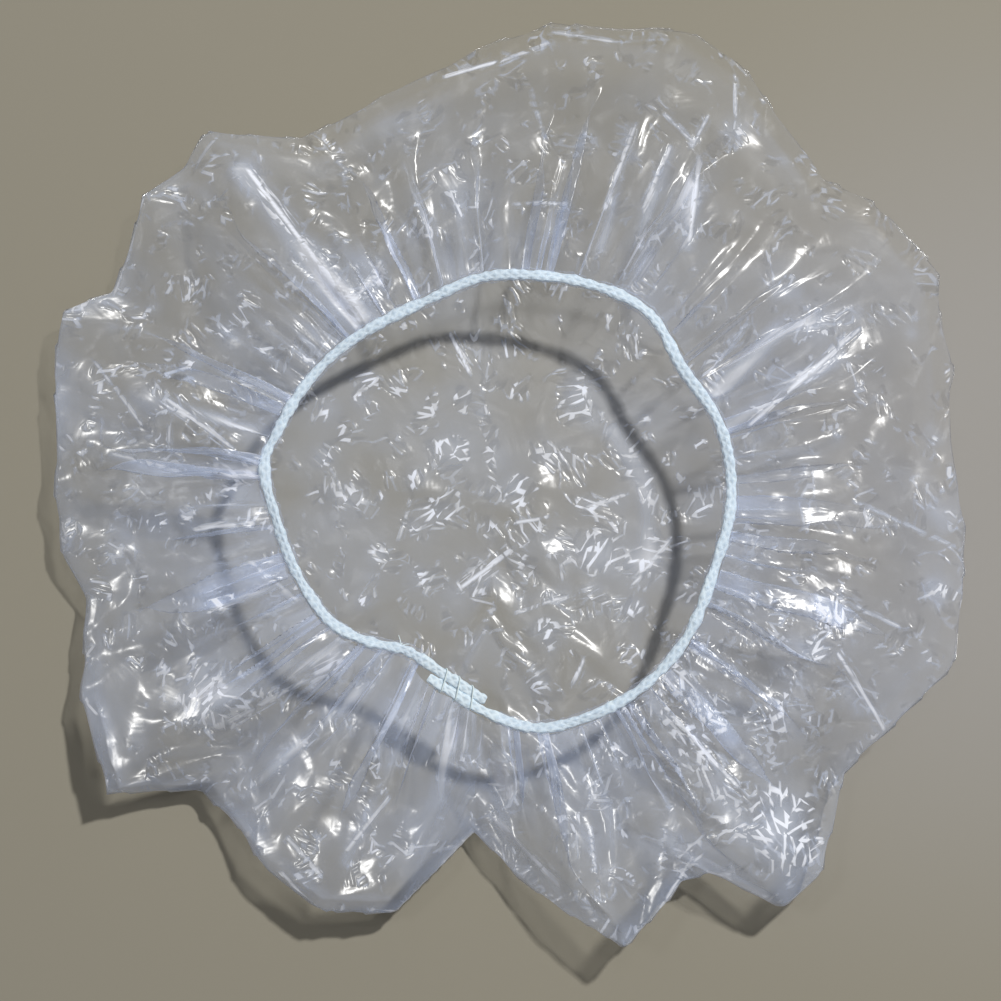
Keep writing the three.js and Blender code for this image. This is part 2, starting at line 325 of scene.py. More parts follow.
# What the main folds, the hem, the spots and the bands add to the film's look
marks = {
    "worked": (0.2, 0.9, 4.2, 0.5),
    "hazy": (0, 1.2, 1.6, 2.4),
    "dense": (0.8, 1.2, 1, 1.5),
}

# How far the film strays from an even lie: distance, distance between corners, seed
strays = {
    "folds": (0.006, 0.045, 31),  # round the cap, as a share of a turn
    "outward": (0.0022, 0.022, 32),
    "round": (0.014, 0.02, 33),  # round the cap, in radians
}

# Crumples: distance between corners, height of the corners, seed
crumples = (
    (0.030, 0.0030, 11),
    (0.0125, 0.0014, 12),
    (0.0055, 0.00055, 13),
)

# Gathers: how many go round, height, how far they fall over sideways, where along the skirt
# they start and are full, seed
gathers = (
    (17, 0.0032, 0.9, 0.05, 0.45, 21),
    (41, 0.0034, 1.9, 0.15, 0.55, 22),
    (92, 0.0024, 2.0, 0.4, 0.8, 23),
    (150, 0.0008, 1.2, 0.7, 0.95, 24),
)

# Main folds: degrees at the hem, degrees at the outer fold, half width in degrees, height
mainFolds = (
    (16, 25, 9, 0.0048), (66, 68, 8, 0.0048), (90, 88, 9, -0.003), (128, 128, 7, 0.006),
    (162, 158, 9, 0.0036), (222, 212, 9, 0.0054), (242, 236, 8, 0.0036), (266, 266, 9, -0.0048),
    (284, 286, 8, 0.0036), (310, 306, 7, 0.0054), (335, 332, 9, 0.0042),
)

perMetre = 1000  # the tables below are in millimetres across and along the surface under the cap

# Most crumpled spots of the skirt, and of the crown as seen in the mouth: place, radius, strength
skirtSpots = np.array([
    (-97, 43, 3.2, 1.3), (-87, 52, 4.5, 1.1), (-91, 64, 4.5, 0.6), (-110, 62, 2.5, 0.8),
    (-123, 55, 2.5, 0.7), (-112, 30, 3.2, 0.8), (-84, 30, 2.2, 0.9), (-108, -7, 4.8, 1.2),
    (-99, -6, 3.5, 1.2), (-118, -13, 4.5, 0.8), (-89, -33, 7.0, 1.1), (-102, -40, 2.5, 0.8),
    (-91, -64, 8.9, 1.7), (-93, -54, 4.5, 1.2), (-70, -62, 4.8, 0.8), (-60, 46, 3.8, 0.9),
    (-93, 98, 3.2, 0.5), (-122, -89, 2.9, 1), (-74, -104, 1.9, 0.8), (-26, -106, 3.8, 0.8),
    (-56, -105, 3.8, 0.7), (4, -90, 4.8, 1.3), (91, -100, 8.3, 1.4), (97, -110, 7.0, 1.2),
    (47, -85, 4.5, 0.6), (98, -69, 2.5, 0.9), (77, 119, 4.5, 1.2), (93, 111, 1.9, 0.6),
    (89, 71, 7.0, 0.8), (103, 56, 10.2, 0.9), (133, 54, 2.2, 0.6), (141, 20, 4.8, 0.9),
    (108, 20, 2.5, 0.9), (110, 8, 1.9, 0.8), (144, -2, 5.7, 0.8), (142, -28, 4.8, 0.9),
    (105, -36, 7.0, 1.2), (100, -48, 4.5, 1.3), (92, -65, 7.6, 0.7), (137, -51, 2.5, 0.8),
    (77, -28, 3.2, 0.6), (-32, 122, 5.7, 0.8), (-52, 115, 1.9, 0.7), (-30, 106, 1.9, 0.7),
    (-12, 98, 7.0, 0.7), (28, 114, 5.1, 0.8), (60, 95, 11.5, 0.7), (-26, 87, 7.6, 0.8),
    (-40, 73, 7.6, 0.7), (-84, 3, 5.7, 0.8), (85, 23, 5.7, 0.6), (90, 40, 7.6, 0.5), (62, -75, 6.4, 0.7),
    (-31, -69, 6.4, 0.6), (-135, 63, 2.5, 0.6), (-140, 43, 2.5, 0.6), (-137, -6, 1.9, 0.6),
    (20, 85, 7.0, 0.5), (46, 76, 5.7, 0.6), (-63, 26, 5.7, 0.5), (-77, -27, 4.5, 0.6),
    (-53, -64, 5.1, 0.5),
])
crownSpots = np.array([
    (4, 51, 3.2, 0.9), (-42, 42, 3.8, 0.9), (-45, 35, 2.5, 1), (-34, 40, 2.9, 0.7), (-54, 31, 4.5, 0.9),
    (-57, 16, 3.8, 0.8), (-15, 20, 6.4, 1.1), (-26, 9, 4.1, 1.2), (-19, -1, 5.7, 1.1),
    (-27, -7, 2.5, 0.8), (7, 4, 5.4, 1.2), (11, -13, 8.3, 1), (-2, -8, 3.8, 0.8), (-26, -23, 4.1, 1.1),
    (-14, -28, 4.1, 0.9), (-39, -16, 3.2, 0.8), (-43, -31, 2.5, 1), (-41, -23, 2.5, 0.6),
    (33, -15, 7.0, 1.1), (29, -0, 4.1, 1.1), (27, 8, 3.2, 0.6), (46, -18, 4.1, 1.1), (44, -33, 3.2, 0.9),
    (16, -41, 4.8, 1), (-9, -44, 1.9, 0.9), (13, -58, 4.5, 0.7), (47, -48, 2.2, 0.7), (65, 21, 3.2, 1.1),
    (67, -1, 3.8, 0.8), (60, -12, 2.5, 0.8), (42, 52, 5.4, 0.9), (20, 62, 2.5, 0.9), (48, 29, 2.2, 0.8),
    (26, 37, 5.4, 0.9), (31, 27, 3.5, 0.8), (6, 38, 5.1, 0.7), (-13, 38, 4.1, 0.8), (-5, 31, 1.9, 1),
    (-48, 2, 6.4, 0.6), (-38, 3, 1.9, 0.9), (46, 12, 4.5, 0.7), (-53, -4, 3.8, 0.4), (1, 16, 4.5, 0.6),
    (20, 16, 5.1, 0.6), (-6, -23, 5.7, 0.7), (40, 2, 3.8, 0.7), (20, -28, 4.5, 0.4),
])

# Straight creases in the same way: one end, other end, half width, strength
skirtCreases = np.array([
    (-79, 105, -63, 83, 2.2, 1.3), (-63, 83, -44, 57, 1.9, 1), (-129, 45, -112, 23, 0.8, 1),
    (-104, 31, -84, 16, 2.5, 0.8), (-103, 24, -103, 14, 0.8, 0.9), (-126, 27, -126, 10, 0.8, 0.5),
    (-123, 15, -101, 9, 0.8, 0.6), (-95, -10, -77, -8, 1.3, 0.9), (-83, -70, -49, -51, 2.5, 0.7),
    (-66, -107, -56, -118, 1.3, 1.1), (-68, -118, -58, -130, 1.3, 1.2), (-34, -94, -49, -113, 1.0, 0.8),
    (-2, -100, 19, -121, 1.4, 1.2), (29, -103, 32, -126, 1.1, 1.1), (52, -129, 62, -113, 1.3, 0.8),
    (56, -70, 75, -90, 2.5, 0.8), (80, 23, 115, 54, 1.9, 0.9), (113, -34, 127, -40, 1.1, 0.8),
    (107, -49, 123, -72, 1.9, 1.2), (113, -1, 146, -14, 1.0, 0.6), (-17, 139, 1, 144, 1.3, 1.4),
    (1, 144, 18, 150, 1.0, 0.9), (18, 154, 39, 150, 1.0, 0.8), (39, 150, 59, 151, 0.8, 0.5),
    (11, 134, 15, 116, 1.0, 0.6), (34, 92, 44, 119, 1.1, 0.9), (46, 91, 55, 112, 1.1, 0.8),
    (54, 123, 62, 114, 1.0, 0.8), (62, 112, 70, 128, 1.0, 0.8), (61, 82, 65, 109, 1.3, 0.8),
    (6, 94, 22, 94, 1.4, 0.8), (77, 139, 77, 125, 1.0, 0.8), (-115, 99, -124, 69, 1.0, 0.9),
    (-90, 119, -99, 107, 0.8, 0.6), (-108, 89, -95, 90, 0.8, 0.4), (-37, 76, -46, 61, 1.3, 0.6),
    (79, 55, 69, 42, 1.6, 0.6), (-63, -32, -79, -19, 1.3, 0.4),
])
crownCreases = np.array([
    (-15, 56, -9, 44, 1.4, 1.3), (3, -6, 16, -4, 0.8, 1.1), (-11, -26, 4, -15, 2.5, 1),
    (30, -0, 42, 4, 0.8, 0.8), (44, -26, 56, -11, 0.8, 0.8), (6, -35, 32, -26, 0.8, 0.7),
    (25, -57, 28, -50, 1.3, 1), (2, 70, 4, 63, 0.8, 0.7), (-32, -11, -28, 2, 1.0, 0.6),
    (-54, 12, -49, 2, 1.0, 0.4), (-19, -18, -23, -28, 1.0, 0.5),
])

# Milky bands along the large ridges and round the elastic's shadow, in the same way
skirtBands = np.array([
    (-83, 106, -62, 80, 4.1, 1.9), (-62, 80, -44, 56, 4.1, 1.9), (-33, 85, -39, 63, 1.9, 0.6),
    (-78, 19, -116, 33, 2.9, 0.6), (-77, 8, -123, 14, 2.2, 0.6), (-78, -7, -97, -10, 2.5, 0.6),
    (-50, -50, -89, -64, 3.5, 0.9), (-90, -48, -93, -69, 6.4, 1), (-40, -58, -81, -94, 1.9, 1.1),
    (-24, -64, -48, -115, 1.6, 0.8), (-13, -73, -18, -96, 4.5, 0.5), (1, -77, 3, -108, 2.9, 0.9),
    (3, -110, 39, -140, 3.5, 0.9), (48, -65, 79, -107, 3.5, 0.9), (61, -61, 75, -77, 1.6, 0.8),
    (45, -108, 61, -115, 1.9, 0.4), (83, -105, 93, -118, 5.1, 0.8), (93, -45, 93, -64, 5.7, 0.7),
    (101, -32, 107, -38, 2.5, 0.9), (109, -58, 115, -67, 2.2, 1), (69, 33, 90, 54, 2.9, 1.3),
    (72, 22, 110, 46, 2.2, 1.1), (90, 54, 115, 59, 3.2, 0.9), (88, 66, 96, 66, 3.2, 0.6),
    (33, 79, 41, 114, 1.6, 0.8), (44, 79, 55, 111, 1.6, 0.9), (60, 79, 63, 101, 2.2, 1.1),
    (41, 119, 43, 108, 2.5, 0.7), (79, -0, 96, -0, 3.8, 0.15), (139, -3, 144, -8, 3.2, 0.8),
    (139, 24, 142, 20, 2.5, 0.7), (137, -27, 142, -32, 2.9, 0.8),
])
crownBands = np.array([
    (37, 25, 48, 8, 2.9, 1.3), (48, 8, 50, -18, 2.5, 1.2), (7, -31, 33, -27, 2.2, 0.4),
    (46, -31, 46, -44, 2.5, 0.5),
])



# Round the cap: degrees, how finely wrinkled, how hazy and how dense in the light its folds are
skirtLook = np.array([
    (0, -2.1, 0.2, -0.1), (25, -2.7, 0.12, -0.14), (48, -3.1, 0.15, -0.14), (66, -2, 0.35, -0.14),
    (85, -2, 0.42, -0.14), (110, -1.7, 0.5, -0.12), (130, -1.5, 0.48, -0.08),
    (155, -1.2, 0.72, -0.03), (180, -1.1, 1.05, 0.15), (205, -1.4, 1.1, 0.3), (213, -1.5, 1.1, 1.4),
    (222, -1.5, 1.1, 1.4), (228, -1.6, 1.15, 0.4), (240, -1.7, 1.15, 0.4), (247, -1.6, 1.2, 1.2),
    (256, -1.6, 1.2, 1), (265, -1.4, 1.25, 0.4), (285, -1, 1.3, 0.5), (296, 0.1, 1.15, 0.7),
    (304, 1.1, 1.1, 1), (312, 1.3, 0.8, 0.3), (332, -0.3, 0.4, -0.05),
])


def facets(points, spacing, seed):
    # heights from -1 to 1 of a sheet of flat facets between scattered corners, at each point
    noise = np.random.default_rng(seed)
    turn = noise.uniform(0, math.pi)
    turned = points @ np.array([(math.cos(turn), -math.sin(turn)), (math.sin(turn), math.cos(turn))])
    count = int(2.6 * cap["flatRadius"] / spacing) + 4  # covers the disc however the sheet is turned
    start = -count * spacing / 2
    places = np.stack(np.meshgrid(np.arange(count), np.arange(count), indexing="ij"), -1)
    scatter = film["cornerScatter"]
    corners = (places + noise.uniform(-scatter, scatter, places.shape)) * spacing + start
    heights = noise.uniform(-1, 1, (count, count))
    crossed = noise.random((count, count)) < 0.5
    cell = np.floor((turned - start) / spacing).astype(int)
    result = np.zeros(len(points))
    found = np.zeros(len(points), bool)
    for stepI in (-1, 0, 1):
        for stepJ in (-1, 0, 1):
            i = np.clip(cell[:, 0] + stepI, 0, count - 2)
            j = np.clip(cell[:, 1] + stepJ, 0, count - 2)
            quad = ((i, j), (i + 1, j), (i + 1, j + 1), (i, j + 1))
            for plain, other in (((0, 1, 2), (0, 1, 3)), ((0, 2, 3), (1, 2, 3))):
                swap = crossed[i, j]
                picks = [(quad[a], quad[b]) for a, b in zip(plain, other)]
                spot = [np.where(swap[:, None], corners[b], corners[a]) for a, b in picks]
                rise = [np.where(swap, heights[b], heights[a]) for a, b in picks]
                (x0, y0), (x1, y1), (x2, y2) = (s.T for s in spot)
                whole = (y1 - y2) * (x0 - x2) + (x2 - x1) * (y0 - y2)
                first = ((y1 - y2) * (turned[:, 0] - x2) + (x2 - x1) * (turned[:, 1] - y2)) / whole
                second = ((y2 - y0) * (turned[:, 0] - x2) + (x0 - x2) * (turned[:, 1] - y2)) / whole
                third = 1 - first - second
                inside = (np.minimum(np.minimum(first, second), third) >= -1e-9) & ~found
                value = first * rise[0] + second * rise[1] + third * rise[2]
                result[inside] = value[inside]
                found |= inside
    return result


def gatherWave(turns, count, seed):
    # an uneven zigzag of ridges and valleys, once round
    noise = np.random.default_rng(seed)
    scatter = film["gatherScatter"]
    knots = (np.arange(2 * count) + noise.uniform(-scatter, scatter, 2 * count)) / (2 * count)
    heights = noise.uniform(film["gatherLeast"], 1, 2 * count) * np.tile((1, -1), count)
    return np.interp(turns, knots, heights, period=1)


def slowWave(turns, count, seed):
    # a smooth uneven wave between -1 and 1, once round
    noise = np.random.default_rng(seed + 100)
    heights = noise.uniform(film["leaningLeast"], 1, count) * noise.choice((-1, 1), count)
    place = np.mod(turns, 1) * count
    low = place.astype(int) % count
    return mix(heights[low], heights[(low + 1) % count], eased(place - np.floor(place)))


def nearSpots(places, table):
    # how strongly each place belongs to a spot
    away = np.linalg.norm(places[:, None] * perMetre - table[:, :2], axis=2)
    return (table[:, 3] * np.exp(-((away / table[:, 2]) ** 2))).max(1)


def nearCreases(places, table):
    # distance across and along from the crease that each place belongs to most, and how strongly
    start, end = table[:, 0:2] / perMetre, table[:, 2:4] / perMetre
    length = np.hypot(*(end - start).T)
    way = (end - start) / length[:, None]
    fromStart = places[:, None, :] - start
    along = (fromStart * way).sum(-1)
    across = fromStart[..., 0] * way[:, 1] - fromStart[..., 1] * way[:, 0]
    beyond = np.maximum(0, np.maximum(-along, along - length))
    away = perMetre * np.hypot(across, film["creaseEnd"] * beyond)
    strength = table[:, 5] * np.exp(-((away / table[:, 4]) ** 2))
    best = strength.argmax(1)
    pick = (np.arange(len(places)), best)
    return np.stack((across[pick], along[pick] + film["creaseShift"] * best, strength[pick]), -1)


def stray(points, name):
    size, spacing, seed = strays[name]
    return size * facets(points, spacing, seed)


def lookRound(angle):
    # how wrinkled, hazy and dense the skirt is at each angle
    return [np.interp(angle, skirtLook[:, 0], skirtLook[:, column], period=360) for column in (1, 2, 3)]


def filmPlaces(flat):
    # where each point of the flat disc comes to lie, and how it got there
    points = flat[:, :2]
    angle = np.degrees(np.arctan2(points[:, 1], points[:, 0]))
    share = np.hypot(points[:, 0], points[:, 1]) / cap["flatRadius"]
    reach, height = outerFold(angle)
    hemReach = mouthReach(angle) + film["hemInset"]
    hemReach += elastic["sideStep"] * stoodAside(angle) * outerSide(angle)
    level = rimLevel(angle)
    skirtRun = np.hypot(reach - hemReach, level - height) * (1 + film["skirtSlack"])
    split = reach / (reach + skirtRun)
    crown = np.clip(share / split, 0, 1)
    inward = np.clip((share - split) / (1 - split), 0, 1)
    billow = np.sin(math.pi * inward)
    rough = sum(lift * facets(points, spacing, seed) for spacing, lift, seed in crumples)
    calm = film["calmed"] * np.minimum(0, lookRound(angle)[0] - film["calmBelow"])
    rough *= 1 + calm * eased(inward / film["calmFrom"])

    climb = np.clip((crown - film["crownRest"]) / (1 - film["crownRest"]), 0, 1) ** film["crownClimb"]
    onFloor = height * climb + rough
    onFloor = (onFloor + np.sqrt(onFloor ** 2 + film["floorEase"] ** 2)) / 2

    turns = angle / 360 + stray(points, "folds") * (1 - inward)
    pleats, fallen = np.zeros(len(points)), np.zeros(len(points))
    for count, lift, lean, start, full, seed in gathers:
        wave = gatherWave(turns, count, seed) * eased((inward - start) / (full - start))
        pleats += lift * wave
        fallen += lean * wave * slowWave(turns, film["leanings"], seed) / (4 * count)
    atHem = eased((inward - film["hemFlatFrom"]) / (1 - film["hemFlatFrom"]))
    pleats *= 1 - film["hemFlattened"] * atHem
    ridges = np.zeros(len(points))
    for hemDegrees, foldDegrees, halfWidth, lift in mainFolds:
        away = np.mod(360 * turns - mix(foldDegrees, hemDegrees, inward) + 180, 360) - 180
        ridges += lift * np.maximum(0, 1 - np.abs(away) / halfWidth)
    onSkirt = mix(height, level, inward) + (film["skirtPuff"] + ridges) * billow
    onSkirt += pleats + rough * (1 - inward ** 6)

    aside = stray(points, "outward") * np.sin(math.pi * np.clip(share / film["stillFrom"], 0, 1))
    out = np.where(inward > 0, mix(reach, hemReach, inward), reach * crown) + aside
    spin = np.radians(angle + 360 * fallen) + stray(points, "round") * billow
    high = np.where(inward > 0, onSkirt, onFloor)
    places = np.stack((out * np.cos(spin), out * np.sin(spin), high), -1)
    lie = {
        "angle": angle,
        "crown": crown,
        "inward": inward,
        "reach": reach,
        "fromFold": np.where(inward > 0, inward * skirtRun, (1 - crown) * reach),
        "onRidge": np.abs(ridges) / film["ridgeHeight"] * billow,
    }
    return places, lie


def filmMarks(places, lie):
    # the attributes that the film's material reads
    inward, onRidge, fromFold = lie["inward"], lie["onRidge"], lie["fromFold"]
    folded = inward > 0
    worked, hazy, dense = lookRound(lie["angle"])
    onSkirt = eased(inward / film["skirtLookFrom"])
    edge, shade = (
        1 - eased((fromFold - width) / ease) for width, ease in (film["edgeBand"], film["shadeBand"])
    )
    edgeHaze = np.where(dense < 0, film["edgeClear"], film["edgeHazy"]) * dense * edge
    hidden = eased((lie["crown"] * lie["reach"] - film["crownSeenTo"]) / film["crownHidden"])
    crownHazy = film["crownHazy"] * mix(1, mix(hazy, 1, film["crownOwnHaze"]), hidden)
    seen = places[:, :2]
    spots = np.where(folded, nearSpots(seen, skirtSpots), nearSpots(seen, crownSpots))
    band = np.where(folded[:, None], nearCreases(seen, skirtBands), nearCreases(seen, crownBands))[:, 2]
    creases = (nearCreases(seen, table) for table in (skirtCreases, crownCreases))
    added = {
        name: sum(share * part for share, part in zip(shares, (onRidge, inward ** 4, spots, band)))
        for name, shares in marks.items()
    }
    hazy = mix(crownHazy, hazy, onSkirt) * (np.maximum(0, 1 + edgeHaze) + film["ridgeHaze"] * onRidge)
    return {
        "asItLies": (places + film["otherLayer"] * folded[:, None]) * (1, 1, 0),
        "gathered": eased((inward - film["gatheredFrom"]) / (1 - film["gatheredFrom"])),
        "worked": mix(film["crownWorked"], worked, onSkirt) + added["worked"],
        "hazy": hazy + added["hazy"],
        "dense": np.maximum(0, 1 + film["shaded"] * dense * shade + added["dense"]),
        "creased": np.where(folded[:, None], *creases),
    }


def makeFilmCap():
    mesh = bmesh.new()
    bmesh.ops.create_grid(mesh, x_segments=film["cells"], y_segments=film["cells"], size=1)
    square = np.array([vert.co[:2] for vert in mesh.verts])
    longer = np.abs(square).max(1)
    wide = np.abs(square[:, 0]) >= np.abs(square[:, 1])
    along = np.where(wide, square[:, 0], square[:, 1])
    across = np.where(wide, square[:, 1], square[:, 0])
    turn = math.pi / 4 * np.divide(across, along, out=np.zeros(len(along)), where=longer > 0)
    cosine, sine = along * np.cos(turn), along * np.sin(turn)
    flat = cap["flatRadius"] * np.stack((np.where(wide, cosine, sine), np.where(wide, sine, cosine)), -1)
    places, lie = filmPlaces(flat)
    for vert, place in zip(mesh.verts, places):
        vert.co = place
    nearFold = [vert for vert, share in zip(mesh.verts, lie["inward"]) if 0 < share < film["foldBand"]]
    for _ in range(film["foldRounding"]):
        bmesh.ops.smooth_vert(
            mesh, verts=nearFold, factor=0.5, use_axis_x=True, use_axis_y=True, use_axis_z=True
        )
    piece = finishMesh("filmCap", mesh)
    for name, values in filmMarks(places, lie).items():
        kind, field = ("FLOAT", "value") if values.ndim == 1 else ("FLOAT_VECTOR", "vector")
        attribute = piece.data.attributes.new(name, kind, "POINT")
        attribute.data.foreach_set(field, values.ravel().astype(np.float32))
    sheetCoordinates = piece.data.uv_layers.new(name="sheet")
    loops = np.zeros(len(piece.data.loops), np.int32)
    piece.data.loops.foreach_get("vertex_index", loops)
    sheetCoordinates.data.foreach_set("uv", flat[loops].ravel().astype(np.float32))
    return piece


# Elastic: two strands in a woven cover, its cut ends side by side where they overlap
elastic = {
    "width": 0.0033,
    "height": 0.0021,
    "lumps": ((0.0042, 0.16, 41), (0.0015, 0.15, 43)),  # length, share of the size, seed
    "endSize": 0.62,  # of each cut end, as a share of the size
    "endTaper": 0.0022,  # length over which each cut end narrows
    "sideStep": 0.0018,  # how far each end stands aside where they overlap
    "overlapLength": 0.019,
    "overlapMiddle": 258,  # degrees
    "overlapEase": 0.018,
    "crossing": 4,  # degrees over which the film passes from the inner end to the outer one
    "longest": 0.6,  # more than its length, for the random lines along it
    "steps": 900,
    "sides": 20,
    "groove": 0.22,  # depth between the two strands, as a share of the height
    "grooveWidth": 0.28,
    "fullness": 0.8,  # 1 for an oval section, less for one with flatter faces
    "twist": 24,  # degrees that the band rolls either way
    "rolls": (0.014, 42),  # length, seed
}


def degreesOf(length):
    return math.degrees(length / mouthReach(np.array([elastic["overlapMiddle"]]))[0])


def stoodAside(angle):
    apart = np.abs(np.mod(angle - elastic["overlapMiddle"] + 180, 360) - 180)
    return 1 - eased((apart - degreesOf(elastic["overlapLength"])) / degreesOf(elastic["overlapEase"]))


def outerSide(angle):
    # 1 where the outermost elastic is the end that stands outside, -1 where there is only the inner end
    fromMiddle = np.mod(angle - elastic["overlapMiddle"] + 180, 360) - 180
    half = degreesOf(elastic["overlapLength"]) / 2
    crossed = eased((fromMiddle + half + elastic["crossing"]) / elastic["crossing"])
    return np.where(fromMiddle > 90, 1, 2 * crossed - 1)  # past 90 degrees there is only one end


elasticStart = elastic["overlapMiddle"] - degreesOf(elastic["overlapLength"]) / 2
elasticEnd = elasticStart + 360 + degreesOf(elastic["overlapLength"])


def rimFrame(angle):
    # middle of the elastic at each angle, and the level way across it to the outside
    def middle(degrees):
        side = np.where(degrees < elastic["overlapMiddle"] + 180, 1, -1)
        reach = mouthReach(degrees) + side * elastic["sideStep"] * stoodAside(degrees)
        turn = np.radians(degrees)
        return np.stack((reach * np.cos(turn), reach * np.sin(turn), rimLevel(degrees)), -1)

    along = middle(angle + 0.5) - middle(angle - 0.5)  # over a degree
    across = np.stack((along[:, 1], -along[:, 0], np.zeros(len(angle))), -1)
    across /= np.linalg.norm(across, axis=1)[:, None]
    return middle(angle), across


def makeTube(name, start, end, grid, section):
    # a grid rolled into a tube along the rim; section gives distances across and up
    mesh = bmesh.new()
    bmesh.ops.create_grid(mesh, x_segments=grid["steps"], y_segments=grid["sides"], size=0.5)
    along = np.array([vert.co.x + 0.5 for vert in mesh.verts])
    turns = np.array([0.5 - vert.co.y for vert in mesh.verts])
    angle = mix(start, end, along)
    length = np.radians(angle - start) * cap["mouthRadius"]
    middle, across = rimFrame(angle)
    out, rise = section(length, turns)
    places = middle + across * out[:, None]
    places[:, 2] += rise
    sheetCoordinates = mesh.loops.layers.uv.new("sheet")
    for face in mesh.faces:
        for loop in face.loops:
            loop[sheetCoordinates].uv = (length[loop.vert.index], turns[loop.vert.index])
    for vert, place in zip(mesh.verts, places):
        vert.co = place
    bmesh.ops.remove_doubles(mesh, verts=mesh.verts, dist=1e-7)
    return finishMesh(name, mesh)


def wander(length, pitch, seed):
    # a smooth random line from -1 to 1 along the rim
    noise = np.random.default_rng(seed)
    count = int(elastic["longest"] / pitch) + 3
    knots = np.arange(count) * pitch
    values = noise.uniform(-1, 1, count)
    place = np.clip(length / pitch, 0, count - 1.001)
    low = place.astype(int)
    return mix(values[low], values[low + 1], eased(place - low))


def elasticSection(length, turns):
    turn = 2 * math.pi * turns
    swell = 1 + sum(share * wander(length, pitch, seed) for pitch, share, seed in elastic["lumps"])
    whole = np.radians(elasticEnd - elasticStart) * cap["mouthRadius"]
    fromEnd = np.minimum(length, whole - length) / elastic["endTaper"]
    swell *= mix(elastic["endSize"], 1, np.sqrt(np.clip(fromEnd, 0, 1)))
    out = elastic["width"] / 2 * np.cos(turn) * swell
    groove = 1 - elastic["groove"] * np.exp(-((np.cos(turn) / elastic["grooveWidth"]) ** 2))
    rise = elastic["height"] / 2 * np.sign(np.sin(turn)) * np.abs(np.sin(turn)) ** elastic["fullness"]
    rise *= groove * swell
    roll = np.radians(elastic["twist"]) * wander(length, *elastic["rolls"])
    return out * np.cos(roll) - rise * np.sin(roll), out * np.sin(roll) + rise * np.cos(roll)


def makeElasticCover():
    return makeTube("elasticCover", elasticStart, elasticEnd, elastic, elasticSection)


# Hem: the turned edge of the film, drawn up in fine gathers round the elastic
hem = {
    "clearance": 0.0004,  # from the elastic
    "steps": 1500,
    "sides": 14,
    "gatherPitch": 0.0016,
    "gatherHeight": 0.00042,
    "gatherLevel": 0.4,  # share of that height by which they stand off on average
    "gathers": ((0.7, 1, 0.0006, 51), (0.5, 1.7, 0.001, 52)),  # share, how much finer, slant, seed
    "setback": 0.0035,  # from the cut ends of the elastic
    "haze": 0.06,
}


def hemSection(length, turns):
    out, rise = elasticSection(length, turns)
    turn = 2 * math.pi * turns
    lump = hem["gatherLevel"]
    for way, (share, finer, slant, seed) in zip((np.sin(turn), np.cos(turn)), hem["gathers"]):
        lump = lump + share * wander(length + slant * way, hem["gatherPitch"] / finer, seed)
    grown = 1 + (hem["clearance"] + hem["gatherHeight"] * lump) / np.hypot(out, rise)
    return out * grown, rise * grown


def makeHemCasing():
    opening = degreesOf(elastic["overlapLength"] + hem["setback"])
    return makeTube("hemCasing", elasticStart + opening, elasticEnd - opening, hem, hemSection)


# Thread: stitches round both ends of the elastic
thread = {
    "radius": 0.00022,
    "stitches": 3,
    "clearance": 0.0002,
    "slant": 0.0006,
    "corner": 3,  # how sharply a stitch turns from its straight runs
    "points": 48,
    "colour": (0.75, 0.86, 0.88, 1),
    "roughness": 0.8,
}

# Tuft of thread ends near the overlap
tuft = {
    "angle": 237,  # degrees
    "lengths": (0.0042, 0.0031, 0.0024, 0.0036),
    "radius": 0.000132,
    "points": 9,
    "reach": 0.8,  # this and the shares below are shares of a thread's length
    "spread": 0.5,  # from each thread to the next
    "wave": (0.25, 3),  # size, radians
    "rise": 0.5,
    "droop": 0.6,
}


def makeThread(name, points, closed, radius):
    # a curve through the points, as thick as the thread
    curve = bpy.data.curves.new(name, "CURVE")
    curve.dimensions = "3D"
    curve.bevel_depth = radius
    curve.bevel_resolution = 2
    spline = curve.splines.new("POLY")
    spline.points.add(len(points) - 1)
    for point, place in zip(spline.points, points):
        point.co = (*place, 1)
    spline.use_cyclic_u = closed
    curve.use_fill_caps = True
    return curve


def rimAxes(angle):
    # the ways outwards, along the rim and up, and the middle of the rim
    turn = math.radians(angle)
    outward = np.array((math.cos(turn), math.sin(turn), 0))
    along = np.array((-math.sin(turn), math.cos(turn), 0))
    up = np.array((0, 0, 1))
    return outward, along, up, outward * mouthReach(np.array([angle]))[0] + up * rimLevel(angle)


def makeStitch(at):
    offset = ((at + 1) / (thread["stitches"] + 1) - 0.5) * elastic["overlapLength"]
    outward, along, up, middle = rimAxes(elastic["overlapMiddle"] + degreesOf(offset))
    bend = elastic["height"] / 2 + thread["clearance"] + thread["radius"]
    straight = elastic["sideStep"] + (elastic["width"] - elastic["height"]) / 2
    points = []
    for step in range(thread["points"]):
        way = 2 * math.pi * step / thread["points"]
        out = math.copysign(straight, math.cos(way)) * min(1, abs(math.cos(way)) * thread["corner"])
        out += bend * math.cos(way)
        rise = up * bend * math.sin(way)
        points.append(middle + outward * out + rise + along * thread["slant"] * math.sin(way))
    name = f"tackStitch{at + 1}"
    return toMesh(name, makeThread(name, points, True, thread["radius"]))


def toMesh(name, *curves):
    # one mesh piece from one or more thread curves
    mesh = bmesh.new()
    for curve in curves:
        holder = addObject(name + "Curve", curve)
        bpy.context.view_layer.update()
        mesh.from_mesh(bpy.data.meshes.new_from_object(holder))
        bpy.data.objects.remove(holder)
    return finishMesh(name, mesh)


